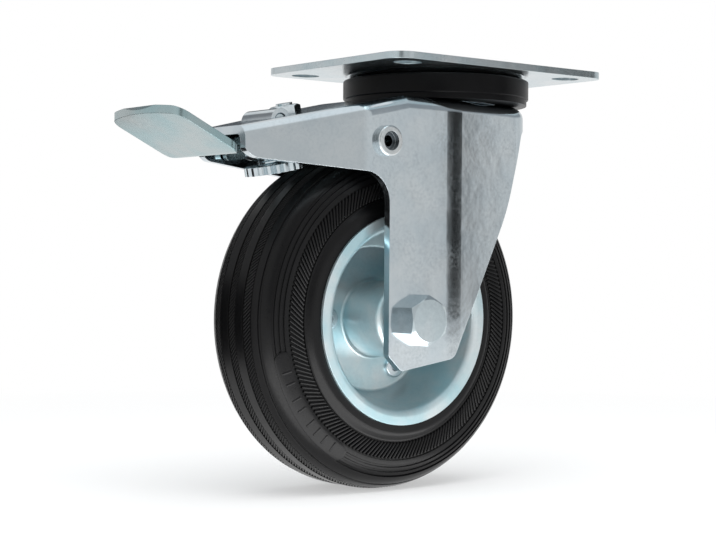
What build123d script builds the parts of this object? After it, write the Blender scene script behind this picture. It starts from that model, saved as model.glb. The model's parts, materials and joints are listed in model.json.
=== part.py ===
from build123d import *

import os
from math import atan, cos, degrees, radians, sin, sqrt, tan

os.makedirs("parts", exist_ok=True)

# A plate-mounted swivel castor with a rubber-tyred pressed wheel and a total lock.
# Frame: origin on the swivel axis in the plate's mounting face, +Z up, the wheel
# trails towards -X and its axle lies along Y.  All sizes are millimetres.

# ---------------------------------------------------------------- driving sizes
# Wheel and its place
wheel_diameter = 125.0
tyre_width = 37.0
wheel_top_drop = 32.0          # mounting face down to the top of the tyre
trail = 32.0                   # swivel axis back to the wheel axle
hub_length = 50.0              # between the fork legs

# Mounting plate
plate_length = 105.0
plate_width = 80.0
plate_sheet = 2.5
plate_corner_r = 7.0
hole_spacing_x = 80.0
hole_spacing_y = 60.0
slot_length = 11.0
slot_width = 9.0

# Round dish pressed down out of the plate, which holds the kingpin's head
dish_depth = 2.4
dish_mouth_r = 33.0
dish_floor_r = 30.5

# Kingpin
kingpin_r = 6.0
kingpin_head_r = 12.0
kingpin_head_height = 2.1
kingpin_nut_flats = 19.0
kingpin_nut_height = 6.0
kingpin_end = 1.0              # pin standing out below its nut

# Double ball race
ball_r = 2.5
race_groove = 0.3              # how deep a ball sits in its track
race_play = 0.03               # between a ball and its track
upper_ball_pitch_r = 19.0
lower_ball_pitch_r = 14.5
upper_ball_count = 14
lower_ball_count = 11
cup_thickness = 2.5
cup_r = 19.0
cup_rim_wall = 1.6
cup_rim_height = 2.6

# Notched ring on the kingpin, which the brake's finger catches
lock_ring_r = 22.2
lock_ring_thickness = 2.8
lock_notch_count = 20
lock_notch_depth = 4.4
lock_notch_width = 4.2

# Black dust ring round the race
dust_ring_r = 35.5
dust_ring_wall = 1.8
dust_ring_gap = 1.9            # plate's underside down to the ring's top edge
dust_ring_lip = 2.0            # height of the set-back lip at its foot
dust_ring_lip_step = 0.7
dust_ring_base = 1.5
dust_ring_play = 0.3           # round the fork's boss

# Fork: one pressing of thick sheet
fork_sheet = 3.0
fork_bend_r = 5.0              # outside radius of the long bends
boss_height = 4.3              # raised race seat on the fork's head
boss_r = 23.5
boss_taper = 2.0
head_hole_r = 8.0
nose_reach = 34.5              # swivel axis forward to the rounded nose
nose_r = 32.0
nose_corner_r = 12.0
apron_depth = 9.0              # skirt below the head round the nose
apron_x = 24.9                 # where the skirt meets the legs' front edges
apron_corner_r = 5.0
front_turn = 7.5               # degrees that the front of each leg turns inwards
front_bend_x = -15.0
front_bend_r = 60.0
front_break_x = 15.5           # where the legs' front edges steepen
front_break_drop = 40.2        # and how far that is below the head
front_break_r = 80.0
knee_x = -56.0                 # where the wings start to close in behind the legs
knee_r = 12.0
tail_x = -99.5                 # trailing end of the wings
tail_half_width = 15.0
web_start_x = -37.3            # where the head's top starts to slope down
web_slope = 12.3               # degrees
wing_depth = 10.8              # height of the wings' side at the trailing end
wing_end_r = 7.0               # rounding of the wings' lower corners there
wing_crotch_depth = 29.0       # head's top down to the wings' lower edge at the legs
crotch_r = 11.0                # inner corner between leg and wing
leg_rear = 13.9                # axle back to the legs' trailing edge
leg_below = 18.2               # axle down to the legs' lower end
leg_heel = 5.9                 # length of the cut heel
leg_heel_rise = 5.5
leg_toe = 17.6                 # axle forward to the toe
leg_toe_drop = 14.2            # and down to it
leg_corner_r = 5.0

# Brake lever: folded sheet hung on two tubular rivets inside the fork
lever_sheet = 2.0
lever_drop = 8.0               # fork's top face down to the lever's, square to both
lever_side_gap = 0.6
lever_bend_r = 3.0
lever_tail_x = -88.6
lever_tail_depth = 5.0         # depth of its side flanges at the tail
lever_shoulder_x = -38.0       # its full width ends here
lever_neck_x = -29.0           # and its finger starts here
lever_neck_half_width = 7.0
lever_lug_r = 7.0
pivot_x = -47.4
pivot_z = -30.8
rivet_shank_r = 3.0
rivet_bore_r = 2.0
rivet_collar_r = 5.5
rivet_collar_height = 2.5
rivet_mouth_r = 3.4            # wide mouth of the bore in the collar
rivet_mouth_depth = 2.0
rivet_inner_head_r = 3.7
rivet_inner_head = 1.0
finger_width = 3.6
finger_tip_x = -18.8
finger_gap = 0.5               # lock ring down to the finger at rest

# Adjusting screw in the lever, with its toothed foot
screw_x = -80.5                # where its axis meets the fork's top face
screw_r = 5.0
screw_sink = 0.2               # its upper end below the lever's top face
screw_nut_flats = 16.0
screw_nut_height = 4.0
foot_r = 10.5
foot_thickness = 3.0
foot_tooth_count = 20
foot_tooth_width = 1.6
foot_gap = 2.1                 # between the foot and the tread at rest

# Pedal, bent from one strip, and the pin across its end.  Its bends are measured
# along the fork's web from the pin, and square down from the web's top face.
pedal_sheet = 2.5
pedal_width = 43.0
pedal_length = 30.5            # fold to the middle of the trailing edge
pedal_slope = 25.5             # degrees
pedal_corner_r = 5.0
pedal_bow = 3.0                # how far the trailing edge bows out in its middle
pedal_fold_back = 27.4         # to the fold between pad and arm
pedal_fold_depth = 7.9
pedal_bend_r = 3.0
arm_half_width = 6.0
arm_fold_half_width = 10.0
arm_crown_back = 14.0          # to the arm's upper bend
arm_crown_gap = 0.4            # and from that up to the web
cam_back = 9.5                 # to the lower bend that pushes the lever
cam_gap = 0.3
pedal_pin_x = -80.5
pedal_pin_r = 2.5
pedal_pin_sink = 1.2           # pin's axis below the fork's top face
knuckle_wall = 1.65
knuckle_half_length = 9.1
knuckle_end_gap = 0.3          # pin set back from the knuckle's ends
arm_slot_gap = 0.5             # arm to the web beside it
arm_slot_back = 7.4            # pin back to the end of the slot in the web

# Return spring, its bolt and its nut
spring_sheet = 1.0
spring_width = 14.0
spring_bolt_x = -71.5
spring_bolt_r = 3.0
spring_nut_flats = 10.0
spring_nut_height = 3.2
spring_bolt_end = 0.8
spring_head_r = 5.5
spring_head_height = 1.8
spring_back = 4.0
spring_flat = 7.0
spring_tip_x = -38.5
spring_tip_gap = 1.3

# Axle
axle_r = 5.0
axle_bolt_flats = 16.0
axle_head_height = 6.4
axle_nut_height = 8.4
axle_washer_r = 10.0
axle_washer_thickness = 2.0
axle_end = 2.0
sleeve_r = 7.0

# Wheel's pressed rim, hub and roller bearing
rim_sheet = 1.5
rim_flange_r = 38.3
rim_flange_width = 4.3         # face of the flange, from its outer to its inner edge
rim_flange_stand = 2.6         # flange's outer face beyond the tyre's side
rim_disc_r = 27.7
rim_boss_r = 14.0
rim_boss_fillet_r = 3.0
rim_boss_hole_r = 9.0
rim_rivet_pitch_r = 21.0
rim_rivet_count = 3
rim_rivet_r = 2.8
rim_rivet_head_r = 4.2
rim_rivet_bore_r = 1.8
rim_rivet_head = 1.3
hub_tube_wall = 2.0
hub_end_gap = 2.3              # fork leg to the end of the rim's boss
roller_count = 12
roller_play = 0.02
cage_end_gap = 1.2             # rim's boss to the end of the cage inside it
cage_end_bar = 3.0             # cage standing out past the rollers
cage_wall = 1.4
seal_thickness = 1.2
seal_r = 12.0
seal_play = 0.2

# Tyre's section
shoulder_run = 7.0             # from the end of the tread's flat out to the shoulder
shoulder_drop = 4.0            # shoulder below the tread
shoulder_in = 1.5              # shoulder in from the tyre's side
tread_edge_r = 15.0            # soft bend between the flat and the shoulder
bead_width = 3.5               # from the rim's flange to the crest of the roll round it
bead_foot = 2.2                # from that crest to the foot of the roll
bead_height = 1.6
groove_depth = 0.5
side_groove_drops = (5.1, 3.3, 1.5)    # three fine grooves, below the shoulder
side_groove_width = 0.9
tread_groove_y = 8.6           # two grooves here and one in the middle
tread_groove_width = 4.2
shoulder_groove_in = 3.4       # fine groove in the slope, in from the shoulder
shoulder_groove_width = 1.0
rib_band_start = 0.4           # bead's foot to the shallow band that holds the ribs
rib_band_margin = 1.75         # that band to the nearest side groove

# Clearances
running_play = 0.05            # round a pin that turns in its hole
bolt_play = 0.1                # round a clamped bolt

# ---------------------------------------------------------------- worked-out places
wheel_r = wheel_diameter / 2
side_y = tyre_width / 2
shoulder_r = wheel_r - shoulder_drop
shoulder_half_width = side_y - shoulder_in
tread_flat = shoulder_half_width - shoulder_run
shoulder_groove_y = shoulder_half_width - shoulder_groove_in
side_groove_r = [shoulder_r - drop for drop in side_groove_drops]
rim_flange_inner_r = rim_flange_r - rim_flange_width
bead_crest_r = rim_flange_r + bead_width
bead_r = bead_crest_r + bead_foot
rib_band_inner_r = bead_r + rib_band_start
rib_band_outer_r = side_groove_r[0] - side_groove_width / 2 - rib_band_margin
axle_z = -(wheel_top_drop + wheel_r)
wheel_centre = (-trail, 0, axle_z)
axle_line = Axis(wheel_centre, (0, 1, 0))
leg_inner_y = hub_length / 2
leg_outer_y = leg_inner_y + fork_sheet

dish_under_z = -(dish_depth + plate_sheet)
upper_ball_z = dish_under_z - ball_r + race_groove
boss_top_z = upper_ball_z - ball_r + race_groove
head_top_z = boss_top_z - boss_height
boss_under_z = boss_top_z - fork_sheet
lower_ball_z = boss_under_z - ball_r + race_groove
cup_top_z = lower_ball_z - ball_r + race_groove
cup_under_z = cup_top_z - cup_thickness
lock_ring_under_z = cup_under_z - lock_ring_thickness
kingpin_nut_under_z = lock_ring_under_z - kingpin_nut_height
finger_top_z = lock_ring_under_z - finger_gap

slope = radians(web_slope)
boss_angle = atan(boss_taper / boss_height)
pin_hole_r = pedal_pin_r + running_play
rim_half_width = tyre_width / 2 + rim_flange_stand


def web_top_z(x):
    """Height of the fork's top face at x: level on the head, sloping behind it."""
    return head_top_z + min(0, x - web_start_x) * tan(slope)


def wing_outer_y(x):
    """Half width over the fork behind the knee, closing in towards the tail."""
    closing = (leg_outer_y - tail_half_width) / (knee_x - tail_x)
    return leg_outer_y - (knee_x - x) * closing


def front_outer_y(x):
    """Half width over the turned-in front of the legs."""
    return leg_outer_y - (x - front_bend_x) * tan(radians(front_turn))


def web_plane(x, drop):
    """Plane parallel to the fork's sloping web and drop below it, square under x."""
    normal = Vector(-sin(slope), 0, cos(slope))
    return Plane(
        origin=Vector(x, 0, web_top_z(x)) - normal * drop,
        x_dir=(cos(slope), 0, sin(slope)),
        z_dir=normal,
    )


def web_side_plane(x, drop):
    """Upright plane seen from the side, its x along the web and its y square to it."""
    return Plane(
        origin=web_plane(x, drop).origin,
        x_dir=(cos(slope), 0, sin(slope)),
        z_dir=(0, -1, 0),
    )


def axle_plane(y):
    """Upright plane across the axle at y, facing away from the wheel's middle."""
    return Plane(origin=(-trail, y, axle_z), x_dir=(1, 0, 0), z_dir=(0, 1 if y > 0 else -1, 0))


def hexagon_blank(plane, flats, height, bore):
    """Hexagon nut or head on a plane, its outer corners chamfered, with a bore."""
    corner = flats / sqrt(3)
    rim = 0.95 * flats / 2
    with BuildPart() as blank:
        with BuildSketch(plane):
            RegularPolygon(flats / 2, 6, major_radius=False, rotation=30)
            if bore:
                Circle(bore, mode=Mode.SUBTRACT)
        extrude(amount=height)
        with BuildSketch(Plane(plane.origin, plane.x_dir, plane.y_dir * -1)):
            with BuildLine():
                drop = (corner + 1 - rim) * tan(radians(30))
                Polyline((rim, height), (corner + 1, height), (corner + 1, height - drop), close=True)
            make_face()
        revolve(axis=Axis(plane.origin, plane.z_dir), mode=Mode.SUBTRACT)
    return blank.part


# ---------------------------------------------------------------- mounting plate
with BuildPart() as top_plate:
    wall_run = plate_sheet * tan(radians(22.5))
    with BuildSketch() as plan:
        RectangleRounded(plate_length, plate_width, plate_corner_r)
        with GridLocations(hole_spacing_x, hole_spacing_y, 2, 2):
            SlotOverall(slot_length, slot_width, mode=Mode.SUBTRACT)
        Circle(dish_mouth_r + wall_run, mode=Mode.SUBTRACT)
    extrude(amount=-plate_sheet)
    with BuildSketch(Plane.XZ):
        with BuildLine():
            Polyline(
                (kingpin_r, -dish_depth),
                (dish_floor_r, -dish_depth),
                (dish_mouth_r, 0),
                (dish_mouth_r + wall_run, 0),
                (dish_mouth_r + wall_run, -plate_sheet),
                (dish_floor_r + wall_run, dish_under_z),
                (kingpin_r, dish_under_z),
                close=True,
            )
        make_face()
    revolve(axis=Axis.Z)
    with BuildSketch(Plane.XZ):
        with Locations((upper_ball_pitch_r, upper_ball_z)):
            Circle(ball_r + race_play)
    revolve(axis=Axis.Z, mode=Mode.SUBTRACT)
top_plate.part.label = "top_plate"
export_step(top_plate.part, "parts/top_plate.step")

# ---------------------------------------------------------------- kingpin and its nut
with BuildPart() as kingpin:
    with BuildSketch(Plane.XY.offset(-dish_depth)):
        Circle(kingpin_head_r)
    extrude(amount=kingpin_head_height, taper=20)
    with BuildSketch(Plane.XY.offset(-dish_depth)):
        Circle(kingpin_r)
    extrude(amount=kingpin_nut_under_z - kingpin_end + dish_depth)
    chamfer(kingpin.edges().sort_by(Axis.Z)[0], kingpin_end / 2)
kingpin.part.label = "kingpin"
export_step(kingpin.part, "parts/kingpin.step")

kingpin_nut_plane = Plane((0, 0, lock_ring_under_z), x_dir=(1, 0, 0), z_dir=(0, 0, -1))
with BuildPart() as kingpin_nut:
    add(hexagon_blank(kingpin_nut_plane, kingpin_nut_flats, kingpin_nut_height, kingpin_r))
kingpin_nut.part.label = "kingpin_nut"
export_step(kingpin_nut.part, "parts/kingpin_nut.step")

# ---------------------------------------------------------------- ball race
with BuildPart() as upper_balls:
    with Locations((0, 0, upper_ball_z)):
        with PolarLocations(upper_ball_pitch_r, upper_ball_count):
            Sphere(ball_r)
upper_balls.part.label = "upper_balls"
export_step(upper_balls.part, "parts/upper_balls.step")

with BuildPart() as lower_balls:
    with Locations((0, 0, lower_ball_z)):
        with PolarLocations(lower_ball_pitch_r, lower_ball_count):
            Sphere(ball_r)
lower_balls.part.label = "lower_balls"
export_step(lower_balls.part, "parts/lower_balls.step")

with BuildPart() as lower_cup:
    with BuildSketch(Plane.XZ):
        with BuildLine():
            Polyline(
                (kingpin_r, cup_under_z),
                (cup_r, cup_under_z),
                (cup_r, cup_top_z + cup_rim_height),
                (cup_r - cup_rim_wall, cup_top_z + cup_rim_height),
                (cup_r - cup_rim_wall, cup_top_z),
                (kingpin_r, cup_top_z),
                close=True,
            )
        make_face()
    revolve(axis=Axis.Z)
    fillet(lower_cup.edges().filter_by(GeomType.CIRCLE).group_by(SortBy.RADIUS)[-1].sort_by(Axis.Z)[0], 1.2)
    with BuildSketch(Plane.XZ):
        with Locations((lower_ball_pitch_r, lower_ball_z)):
            Circle(ball_r + race_play)
    revolve(axis=Axis.Z, mode=Mode.SUBTRACT)
lower_cup.part.label = "lower_cup"
export_step(lower_cup.part, "parts/lower_cup.step")

with BuildPart() as lock_ring:
    with BuildSketch(Plane.XY.offset(cup_under_z)):
        Circle(lock_ring_r)
        Circle(kingpin_r, mode=Mode.SUBTRACT)
        with PolarLocations(lock_ring_r, lock_notch_count):
            Rectangle(2 * lock_notch_depth, lock_notch_width, mode=Mode.SUBTRACT)
    extrude(amount=-lock_ring_thickness)
lock_ring.part.label = "lock_ring"
export_step(lock_ring.part, "parts/lock_ring.step")

with BuildPart() as dust_ring:
    ring_top_z = -plate_sheet - dust_ring_gap
    lip_r = dust_ring_r - dust_ring_lip_step
    with BuildSketch(Plane.XZ):
        with BuildLine():
            Polyline(
                (boss_r + dust_ring_play, head_top_z),
                (lip_r, head_top_z),
                (lip_r, head_top_z + dust_ring_lip),
                (dust_ring_r, head_top_z + dust_ring_lip),
                (dust_ring_r, ring_top_z),
                (dust_ring_r - dust_ring_wall, ring_top_z),
                (dust_ring_r - dust_ring_wall, head_top_z + dust_ring_base),
                (boss_r + dust_ring_play, head_top_z + dust_ring_base),
                close=True,
            )
        make_face()
    revolve(axis=Axis.Z)
    fillet(dust_ring.edges().filter_by(GeomType.CIRCLE).group_by(SortBy.RADIUS)[-1], 0.5)
dust_ring.part.label = "dust_ring"
export_step(dust_ring.part, "parts/dust_ring.step")


# ---------------------------------------------------------------- fork
def fork_plan(end_x):
    """Outline of the fork from above, over its outer faces, cut off at end_x."""
    nose_centre_x = nose_reach - nose_r
    turn = tan(radians(front_turn))
    line_y = leg_outer_y + (front_bend_x - nose_centre_x) * turn
    a = 1 + turn * turn
    b = line_y * turn
    corner_x = nose_centre_x + (b + sqrt(b * b - a * (line_y * line_y - nose_r * nose_r))) / a
    side = [
        (end_x, -wing_outer_y(end_x)),
        (knee_x, -leg_outer_y),
        (front_bend_x, -leg_outer_y),
        (corner_x, -front_outer_y(corner_x)),
    ]
    with BuildSketch() as plan:
        with BuildLine():
            Polyline(*side)
            ThreePointArc(side[-1], (nose_reach, 0), (side[-1][0], -side[-1][1]))
            Polyline(*[(x, -y) for x, y in reversed(side)])
            Line((side[0][0], -side[0][1]), side[0])
        make_face()
        fillet(plan.vertices().group_by(Axis.X)[3], nose_corner_r)
        fillet(plan.vertices().group_by(Axis.X)[2], front_bend_r)
        fillet(plan.vertices().group_by(Axis.X)[1], knee_r)
    return plan.sketch


def rounded_block(end_x, inset, top, bend_r):
    """Block inside the fork's outline under a plane, its long upper edges rounded."""
    with BuildPart() as block:
        with BuildSketch(Plane.XY.offset(nose_reach)):
            add(fork_plan(end_x))
            if inset:
                offset(amount=-inset)
        extrude(amount=axle_z - leg_below - fork_bend_r - nose_reach)
        split(bisect_by=top, keep=Keep.BOTTOM)
        fillet(block.faces().sort_by(Axis.Z)[-1].edges().filter_by(Axis.Y, reverse=True), bend_r)
    return block.part


def folded_block(end_x, inset, level_z, slope_drop, bend_r):
    """Block inside the fork's outline with a level top that slopes down behind."""
    level = rounded_block(end_x, inset, Plane.XY.offset(level_z), bend_r)
    sloping = rounded_block(end_x, inset, web_plane(web_start_x, slope_drop), bend_r)
    return level & sloping


with BuildPart() as fork:
    add(folded_block(tail_x, 0, head_top_z, 0, fork_bend_r))
    add(
        folded_block(2 * tail_x - knee_x, fork_sheet, head_top_z - fork_sheet, fork_sheet, fork_bend_r - fork_sheet),
        mode=Mode.SUBTRACT,
    )
    with BuildSketch(Plane.XY.offset(head_top_z)):
        Circle(boss_r)
    extrude(amount=boss_height, taper=degrees(boss_angle))
    with BuildSketch(Plane.XY.offset(head_top_z - fork_sheet)):
        Circle(boss_r - fork_sheet / cos(boss_angle) + fork_sheet * tan(boss_angle))
    extrude(amount=boss_height, taper=degrees(boss_angle), mode=Mode.SUBTRACT)
    with BuildSketch(Plane.XY):
        Circle(head_hole_r)
    extrude(amount=head_top_z - fork_sheet, mode=Mode.SUBTRACT)
    with BuildSketch(Plane.XZ):
        with Locations((upper_ball_pitch_r, upper_ball_z), (lower_ball_pitch_r, lower_ball_z)):
            Circle(ball_r + race_play)
    revolve(axis=Axis.Z, mode=Mode.SUBTRACT)
    with BuildSketch(Plane.XZ) as side:
        with BuildLine():
            FilletPolyline(
                (tail_x - 1, 0),
                (tail_x - 1, web_top_z(tail_x) - wing_depth),
                (-trail - leg_rear, head_top_z - wing_crotch_depth),
                (-trail - leg_rear, axle_z - leg_below + leg_heel_rise),
                (-trail - leg_rear + leg_heel, axle_z - leg_below),
                (-trail + leg_toe, axle_z - leg_toe_drop),
                (front_break_x, head_top_z - front_break_drop),
                (apron_x, head_top_z - apron_depth),
                (nose_reach + 1, head_top_z - apron_depth),
                (nose_reach + 1, 0),
                radius=(0, wing_end_r, crotch_r, 2, 2, leg_corner_r, front_break_r, apron_corner_r, 0, 0),
                close=True,
            )
        make_face()
    extrude(amount=leg_outer_y + 1, both=True, mode=Mode.INTERSECT)
    with BuildSketch(Plane.XZ):
        with Locations((-trail, axle_z)):
            Circle(axle_r + bolt_play)
        with Locations((pivot_x, pivot_z)):
            Circle(rivet_shank_r)
    extrude(amount=leg_outer_y + 1, both=True, mode=Mode.SUBTRACT)
    with BuildSketch(web_side_plane(pedal_pin_x, 0)):
        with Locations((0, -pedal_pin_sink)):
            Circle(pin_hole_r + knuckle_wall)
        with Locations((0, -fork_sheet)):
            Rectangle(4 * pin_hole_r, 2 * pin_hole_r, align=(Align.CENTER, Align.MAX), mode=Mode.SUBTRACT)
    extrude(amount=knuckle_half_length, both=True)
    with BuildSketch(web_side_plane(pedal_pin_x, 0)):
        with Locations((0, -pedal_pin_sink)):
            Circle(pin_hole_r)
            Rectangle(2 * pin_hole_r, fork_sheet, align=(Align.CENTER, Align.MAX))
    extrude(amount=knuckle_half_length, both=True, mode=Mode.SUBTRACT)
    with BuildSketch(web_side_plane(pedal_pin_x, 0)):
        back = pin_hole_r + knuckle_wall
        with BuildLine():
            Polyline(
                (-arm_slot_back, -fork_sheet - 1),
                (-arm_slot_back, 1),
                (-back, 1),
                (-back, -pedal_pin_sink / 2),
                (0, -pedal_pin_sink / 2),
                (0, -fork_sheet - 1),
                close=True,
            )
        make_face()
    extrude(amount=arm_half_width + arm_slot_gap, both=True, mode=Mode.SUBTRACT)
    with BuildSketch(web_plane(spring_bolt_x, 0)):
        Circle(spring_bolt_r + bolt_play)
    extrude(amount=-fork_sheet, mode=Mode.SUBTRACT)
fork.part.label = "fork"
export_step(fork.part, "parts/fork.step")

# ---------------------------------------------------------------- pivot rivets
with BuildPart() as pivot_rivets:
    lug_inner_y = leg_inner_y - lever_side_gap - lever_sheet - running_play
    with BuildSketch(Plane.XZ.offset(leg_outer_y)):
        with Locations((pivot_x, pivot_z)):
            Circle(rivet_collar_r)
    extrude(amount=rivet_collar_height)
    fillet(pivot_rivets.faces().sort_by(Axis.Y)[0].edges(), 0.8)
    with BuildSketch(Plane.XZ.offset(leg_outer_y)):
        with Locations((pivot_x, pivot_z)):
            Circle(rivet_shank_r)
    extrude(amount=lug_inner_y - rivet_inner_head - leg_outer_y)
    with BuildSketch(Plane.XZ.offset(lug_inner_y)):
        with Locations((pivot_x, pivot_z)):
            Circle(rivet_inner_head_r)
    extrude(amount=-rivet_inner_head)
    with BuildSketch(Plane.XZ.offset(leg_outer_y + rivet_collar_height)):
        with Locations((pivot_x, pivot_z)):
            Circle(rivet_bore_r)
    extrude(amount=-leg_outer_y, mode=Mode.SUBTRACT)
    with BuildSketch(Plane.XZ.offset(leg_outer_y + rivet_collar_height)):
        with Locations((pivot_x, pivot_z)):
            Circle(rivet_mouth_r)
    extrude(amount=-rivet_mouth_depth, mode=Mode.SUBTRACT)
    mirror(about=Plane.XZ)
pivot_rivets.part.label = "pivot_rivets"
export_step(pivot_rivets.part, "parts/pivot_rivets.step")

# ---------------------------------------------------------------- brake lever
lever_inset = fork_sheet + lever_side_gap
with BuildPart() as brake_lever:
    add(folded_block(tail_x, lever_inset, finger_top_z, lever_drop, lever_bend_r))
    add(
        folded_block(
            2 * tail_x - knee_x,
            lever_inset + lever_sheet,
            finger_top_z - lever_sheet,
            lever_drop + lever_sheet,
            lever_bend_r - lever_sheet,
        ),
        mode=Mode.SUBTRACT,
    )
    with BuildSketch(Plane.XZ):
        with BuildLine():
            tail_under_z = web_top_z(lever_tail_x) - lever_drop / cos(slope) - lever_tail_depth
            FilletPolyline(
                (lever_tail_x, 0),
                (lever_tail_x, tail_under_z),
                (pivot_x - lever_lug_r, pivot_z - lever_lug_r / 2),
                (pivot_x, pivot_z),
                (lever_shoulder_x, finger_top_z - 1.5 * lever_sheet),
                (0, finger_top_z - 1.5 * lever_sheet),
                (0, 0),
                radius=(0, 2, 1, 0, 1, 0, 0),
                close=True,
            )
        make_face()
        with Locations((pivot_x, pivot_z)):
            Circle(lever_lug_r)
    extrude(amount=leg_inner_y, both=True, mode=Mode.INTERSECT)
    with BuildSketch(Plane.XY):
        with BuildLine():
            Polyline(
                (2 * tail_x, -leg_inner_y),
                (lever_shoulder_x, -leg_inner_y),
                (lever_neck_x, -lever_neck_half_width),
                (lever_neck_x, -finger_width / 2),
                (finger_tip_x, -finger_width / 2),
                (finger_tip_x, finger_width / 2),
                (lever_neck_x, finger_width / 2),
                (lever_neck_x, lever_neck_half_width),
                (lever_shoulder_x, leg_inner_y),
                (2 * tail_x, leg_inner_y),
                close=True,
            )
        make_face()
    extrude(amount=axle_z, mode=Mode.INTERSECT)
    with BuildSketch(Plane.XZ):
        with Locations((pivot_x, pivot_z)):
            Circle(rivet_shank_r + running_play)
    extrude(amount=leg_inner_y, both=True, mode=Mode.SUBTRACT)
    with BuildSketch(web_plane(screw_x, 0)):
        Circle(screw_r)
    extrude(amount=-lever_drop - 2 * lever_sheet, mode=Mode.SUBTRACT)
brake_lever.part.label = "brake_lever"
export_step(brake_lever.part, "parts/brake_lever.step")

# ---------------------------------------------------------------- adjusting screw
screw_axis = web_plane(screw_x, 0)
foot_rim = (screw_axis.origin + screw_axis.x_dir * foot_r) - Vector(*wheel_centre)
fall = foot_rim.dot(screw_axis.z_dir)
foot_depth = fall - sqrt(fall * fall - foot_rim.length**2 + (wheel_r + foot_gap) ** 2)

with BuildPart() as adjusting_screw:
    with BuildSketch(web_plane(screw_x, lever_drop + screw_sink)):
        Circle(screw_r)
    extrude(amount=lever_drop + screw_sink - foot_depth)
    chamfer(adjusting_screw.edges().sort_by(Axis.Z)[-1], 0.8)
    with BuildSketch(web_plane(screw_x, foot_depth)):
        Circle(foot_r)
        with PolarLocations(foot_r, foot_tooth_count):
            Rectangle(foot_tooth_width, foot_tooth_width, rotation=45, mode=Mode.SUBTRACT)
    extrude(amount=foot_thickness)
adjusting_screw.part.label = "adjusting_screw"
export_step(adjusting_screw.part, "parts/adjusting_screw.step")

screw_nut_plane = web_plane(screw_x, lever_drop + lever_sheet)
with BuildPart() as screw_lock_nut:
    add(hexagon_blank(Plane(screw_nut_plane.origin, screw_nut_plane.x_dir, -screw_nut_plane.z_dir),
                      screw_nut_flats, screw_nut_height, screw_r))
screw_lock_nut.part.label = "screw_lock_nut"
export_step(screw_lock_nut.part, "parts/screw_lock_nut.step")

# ---------------------------------------------------------------- pedal and its pin
with BuildPart() as pedal:
    pin_side = web_side_plane(pedal_pin_x, 0)
    pad_angle = radians(pedal_slope + web_slope)
    fold = (-pedal_fold_back, -pedal_fold_depth)
    pad_end = (fold[0] - pedal_length * cos(pad_angle), fold[1] + pedal_length * sin(pad_angle))
    with BuildSketch(pin_side):
        with BuildLine() as path:
            FilletPolyline(
                (0, -pedal_pin_sink),
                (-cam_back, -lever_drop + cam_gap + pedal_sheet / 2),
                (-arm_crown_back, -fork_sheet - arm_crown_gap - pedal_sheet / 2),
                fold,
                pad_end,
                radius=pedal_bend_r,
            )
        trace(path.edges(), pedal_sheet)
        with Locations((0, -pedal_pin_sink)):
            Circle(pedal_pin_r, mode=Mode.SUBTRACT)
    extrude(amount=pedal_width / 2, both=True)
    with BuildSketch(Plane.XY) as outline:
        fold_x = pin_side.from_local_coords((fold[0], fold[1], 0)).X
        crown_x = pedal_pin_x - arm_crown_back
        end_x = pin_side.from_local_coords((pad_end[0], pad_end[1], 0)).X + pedal_bow * cos(radians(pedal_slope))
        with BuildLine():
            Polyline(
                (end_x, -pedal_width / 2),
                (fold_x, -pedal_width / 2),
                (fold_x + 1, -arm_fold_half_width),
                (crown_x, -arm_half_width),
                (0, -arm_half_width),
                (0, arm_half_width),
                (crown_x, arm_half_width),
                (fold_x + 1, arm_fold_half_width),
                (fold_x, pedal_width / 2),
                (end_x, pedal_width / 2),
            )
            ThreePointArc(
                (end_x, pedal_width / 2),
                (end_x - pedal_bow * cos(radians(pedal_slope)), 0),
                (end_x, -pedal_width / 2),
            )
        make_face()
        fillet(outline.vertices().group_by(Axis.Y)[0], pedal_corner_r)
        fillet(outline.vertices().group_by(Axis.Y)[-1], pedal_corner_r)
    extrude(amount=axle_z, mode=Mode.INTERSECT)
pedal.part.label = "pedal"
export_step(pedal.part, "parts/pedal.step")

with BuildPart() as pedal_pin:
    with BuildSketch(pin_side):
        with Locations((0, -pedal_pin_sink)):
            Circle(pedal_pin_r)
    extrude(amount=knuckle_half_length - knuckle_end_gap, both=True)
    chamfer(pedal_pin.edges().filter_by(GeomType.CIRCLE), 0.4)
pedal_pin.part.label = "pedal_pin"
export_step(pedal_pin.part, "parts/pedal_pin.step")

# ---------------------------------------------------------------- return spring
spring_seat = web_plane(spring_bolt_x, fork_sheet)
with BuildPart() as return_spring:
    spring_side = web_side_plane(spring_bolt_x, fork_sheet + spring_sheet / 2)
    tip = spring_side.to_local_coords(Vector(spring_tip_x, 0, finger_top_z + spring_tip_gap + spring_sheet / 2))
    with BuildSketch(spring_side):
        with BuildLine() as strip:
            FilletPolyline((-spring_back, 0), (spring_flat, 0), (tip.X, tip.Y), radius=6)
        trace(strip.edges(), spring_sheet)
    extrude(amount=spring_width / 2, both=True)
    with BuildSketch(spring_seat):
        Circle(spring_bolt_r + bolt_play)
    extrude(amount=-2 * spring_sheet, mode=Mode.SUBTRACT)
return_spring.part.label = "return_spring"
export_step(return_spring.part, "parts/return_spring.step")

with BuildPart() as spring_bolt:
    with BuildSketch(web_plane(spring_bolt_x, fork_sheet + spring_sheet)):
        Circle(spring_head_r)
    extrude(amount=-spring_head_height)
    fillet(spring_bolt.edges().sort_by(Axis.Z)[0], 1)
    with BuildSketch(web_plane(spring_bolt_x, fork_sheet + spring_sheet)):
        Circle(spring_bolt_r)
    extrude(amount=fork_sheet + spring_sheet + spring_nut_height + spring_bolt_end)
spring_bolt.part.label = "spring_bolt"
export_step(spring_bolt.part, "parts/spring_bolt.step")

with BuildPart() as spring_nut:
    add(hexagon_blank(web_plane(spring_bolt_x, 0), spring_nut_flats, spring_nut_height, spring_bolt_r))
spring_nut.part.label = "spring_nut"
export_step(spring_nut.part, "parts/spring_nut.step")

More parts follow.
